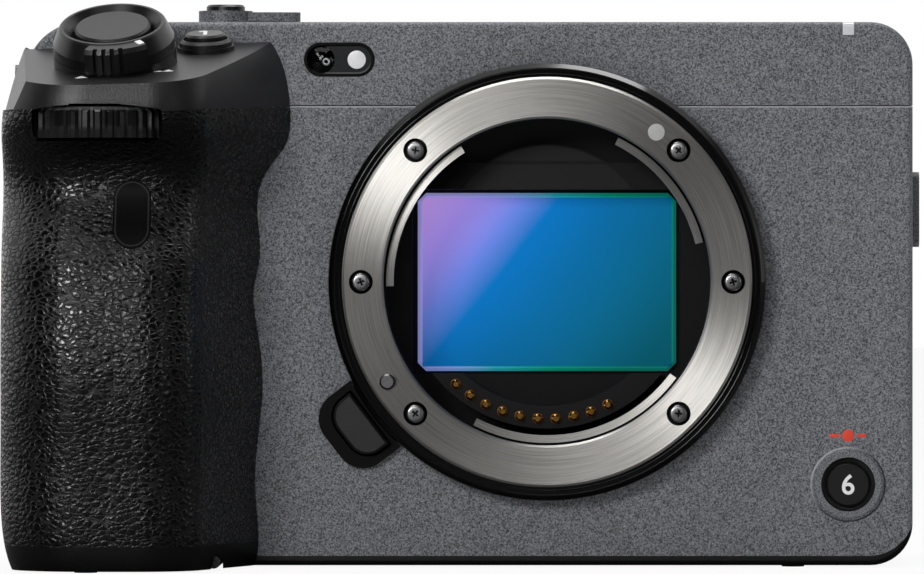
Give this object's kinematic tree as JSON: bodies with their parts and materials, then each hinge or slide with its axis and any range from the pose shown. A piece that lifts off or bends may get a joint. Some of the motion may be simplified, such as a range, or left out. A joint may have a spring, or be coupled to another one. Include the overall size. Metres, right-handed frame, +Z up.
{
  "type": "cinema camera body",
  "caption": "Compact mirrorless cinema camera body with a bayonet lens mount, a leather-covered hand grip and a swing-out monitor.",
  "frame": {"origin": "mouth of the tripod socket in the base plate, straight below the lens axis", "axes": "+X to the right as seen from the front, -Y out of the lens mount, +Z up"},
  "size_m": [0.1297, 0.0845, 0.0806],
  "materials": {
    "case_paint": "fine speckled grey paint",
    "black_plastic": "satin black",
    "leather": "black wrinkled leatherette",
    "mount_steel": "circular brushed",
    "screw_chrome": "polished",
    "gloss_black": "gloss",
    "throat_black": "dull anti-reflection black",
    "contact_gold": "gold plated",
    "sensor_surface": "coated cover glass, blue and violet sheen",
    "lamp_clear": "clear lens",
    "white_diffuser": "white diffuser",
    "steel": "satin",
    "aluminium": "satin",
    "board_green": "solder mask",
    "screen_glass": "dark gloss",
    "battery_case": "satin"
  },
  "bodies": {
    "camera_body": {"front_cover": "case_paint", "top_cover": "case_paint", "rear_cover": "case_paint", "base_plate": "black_plastic", "cover_screws": "screw_chrome", "grip_moulding": "black_plastic", "grip_skin": "leather", "grip_plug": "black_plastic", "grip_cap": "black_plastic", "mount_ring": "mount_steel", "mount_screws": "screw_chrome", "mount_trim_ring": "gloss_black", "throat_housing": "throat_black", "contact_block": "throat_black", "contact_pins": "contact_gold", "sensor_baffle": "throat_black", "release_well": "black_plastic", "signal_window": "gloss_black", "focus_lamp_lens": "lamp_clear", "light_sensor": "white_diffuser", "tally_lamp": "white_diffuser", "accessory_shoe": "steel", "thread_inserts": "steel", "strap_bars": "steel", "thumb_rest": "black_plastic", "battery": "battery_case", "main_board": "board_green", "heat_sink": "aluminium", "fan_housing": "black_plastic", "card_slot_cage": "steel", "port_sockets": "steel"},
    "shutter_button": {"shutter_button": "black_plastic"},
    "zoom_lever": {"zoom_lever": "black_plastic"},
    "front_dial": {"front_dial": "black_plastic"},
    "custom_button": {"custom_button": "black_plastic"},
    "power_lever": {"power_lever": "case_paint"},
    "top_record_button": {"top_record_button": "black_plastic"},
    "front_record_button": {"front_record_button": "black_plastic"},
    "release_button": {"release_button": "black_plastic"},
    "lock_pin": {"lock_pin": "steel"},
    "sensor_frame": {"sensor_frame": "aluminium"},
    "curtain_blade_front": {"curtain_blade_front": "throat_black"},
    "curtain_blade_rear": {"curtain_blade_rear": "throat_black"},
    "control_wheel": {"control_wheel": "black_plastic"},
    "centre_button": {"centre_button": "black_plastic"},
    "joystick": {"joystick": "black_plastic"},
    "joystick_gimbal": {"joystick_gimbal": "steel"},
    "rear_dial": {"rear_dial": "black_plastic"},
    "menu_button": {"menu_button": "black_plastic"},
    "play_button": {"play_button": "black_plastic"},
    "battery_door": {"battery_door": "black_plastic"},
    "battery_latch": {"battery_latch": "black_plastic"},
    "port_door": {"port_door": "black_plastic"},
    "card_door": {"card_door": "black_plastic"},
    "fan_rotor": {"fan_rotor": "black_plastic"},
    "sensor_carriage": {"sensor_carriage": "aluminium", "sensor_glass": "sensor_surface"},
    "monitor": {"monitor_arm": "black_plastic", "monitor_housing": "black_plastic", "monitor_glass": "screen_glass"}
  },
  "joints": [
    {"name": "shutter_press", "type": "slide", "parent": "camera_body", "child": "shutter_button", "axis": [0.061, 0.4139, -0.9083], "range_m": [0, 0.001], "stiffness_N_per_m": 300},
    {"name": "zoom_turn", "type": "hinge", "parent": "camera_body", "child": "zoom_lever", "pos_m": [-0.0608, -0.0303, 0.0761], "axis": [-0.061, -0.4139, 0.9083], "range_deg": [-20, 20], "stiffness_Nm_per_rad": 0.01},
    {"name": "front_dial_spin", "type": "hinge", "parent": "camera_body", "child": "front_dial", "pos_m": [-0.0624, -0.0338, 0.0602], "axis": [0, 0, 1], "continuous": true},
    {"name": "custom_press", "type": "slide", "parent": "camera_body", "child": "custom_button", "axis": [0.0293, 0.2054, -0.9782], "range_m": [0, 0.0006], "stiffness_N_per_m": 300},
    {"name": "power_turn", "type": "hinge", "parent": "camera_body", "child": "power_lever", "pos_m": [-0.0465, 0.011, 0.07715], "axis": [0, 0, -1], "range_deg": [0, 35]},
    {"name": "top_record_press", "type": "slide", "parent": "camera_body", "child": "top_record_button", "axis": [0, 0, -1], "range_m": [0, 0.0006], "stiffness_N_per_m": 300},
    {"name": "front_record_press", "type": "slide", "parent": "camera_body", "child": "front_record_button", "axis": [0, 1, 0], "range_m": [0, 0.0006], "stiffness_N_per_m": 300},
    {"name": "release_press", "type": "slide", "parent": "camera_body", "child": "release_button", "axis": [0, 1, 0], "range_m": [0, 0.0012], "stiffness_N_per_m": 300},
    {"name": "lock_slide", "type": "slide", "parent": "camera_body", "child": "lock_pin", "axis": [0, 1, 0], "range_m": [0, 0.0012]},
    {"name": "sensor_shift_x", "type": "slide", "parent": "camera_body", "child": "sensor_frame", "axis": [1, 0, 0], "range_m": [-0.0008, 0.0008]},
    {"name": "sensor_shift_z", "type": "slide", "parent": "sensor_frame", "child": "sensor_carriage", "axis": [0, 0, 1], "range_m": [-0.0008, 0.0008]},
    {"name": "curtain_front_fall", "type": "slide", "parent": "camera_body", "child": "curtain_blade_front", "axis": [0, 0, -1], "range_m": [0, 0.0274]},
    {"name": "curtain_rear_fall", "type": "slide", "parent": "camera_body", "child": "curtain_blade_rear", "axis": [0, 0, -1], "range_m": [0, 0.0137]},
    {"name": "monitor_swing", "type": "hinge", "parent": "camera_body", "child": "monitor", "pos_m": [0.049, 0.0302, 0.04], "axis": [0, 0, -1], "range_deg": [0, 176]},
    {"name": "wheel_spin", "type": "hinge", "parent": "camera_body", "child": "control_wheel", "pos_m": [-0.044, 0.026, 0.027], "axis": [0, 1, 0], "continuous": true},
    {"name": "centre_press", "type": "slide", "parent": "camera_body", "child": "centre_button", "axis": [0, -1, 0], "range_m": [0, 0.0006], "stiffness_N_per_m": 300},
    {"name": "stick_tilt_up", "type": "hinge", "parent": "camera_body", "child": "joystick_gimbal", "pos_m": [-0.04, 0.021, 0.0535], "axis": [1, 0, 0], "range_deg": [-8, 8], "stiffness_Nm_per_rad": 0.01},
    {"name": "stick_tilt_side", "type": "hinge", "parent": "joystick_gimbal", "child": "joystick", "pos_m": [-0.04, 0.021, 0.0535], "axis": [0, 0, 1], "range_deg": [-8, 8], "stiffness_Nm_per_rad": 0.01},
    {"name": "rear_dial_spin", "type": "hinge", "parent": "camera_body", "child": "rear_dial", "pos_m": [-0.062, 0.021, 0.0682], "axis": [0, 0, 1], "continuous": true},
    {"name": "menu_press", "type": "slide", "parent": "camera_body", "child": "menu_button", "axis": [0, -1, 0], "range_m": [0, 0.0006], "stiffness_N_per_m": 300},
    {"name": "play_press", "type": "slide", "parent": "camera_body", "child": "play_button", "axis": [0, -1, 0], "range_m": [0, 0.0006], "stiffness_N_per_m": 300},
    {"name": "battery_door_swing", "type": "hinge", "parent": "camera_body", "child": "battery_door", "pos_m": [-0.0466, 0, 0.001], "axis": [0, -1, 0], "range_deg": [0, 95]},
    {"name": "battery_latch_slide", "type": "slide", "parent": "battery_door", "child": "battery_latch", "axis": [0, 1, 0], "range_m": [0, 0.003]},
    {"name": "port_door_swing", "type": "hinge", "parent": "camera_body", "child": "port_door", "pos_m": [0.0511, 0.0058, 0.027], "axis": [0, 0, -1], "range_deg": [0, 90]},
    {"name": "card_door_swing", "type": "hinge", "parent": "camera_body", "child": "card_door", "pos_m": [-0.0732, 0.0218, 0.035], "axis": [0, 0, -1], "range_deg": [0, 90]},
    {"name": "fan_spin", "type": "hinge", "parent": "camera_body", "child": "fan_rotor", "pos_m": [0.037, 0.008, 0.054], "axis": [0, 1, 0], "continuous": true}
  ],
  "couplings": [
    {"joint": "lock_slide", "follows": "release_press", "ratio": 1},
    {"joint": "curtain_rear_fall", "follows": "curtain_front_fall", "ratio": 0.5}
  ]
}
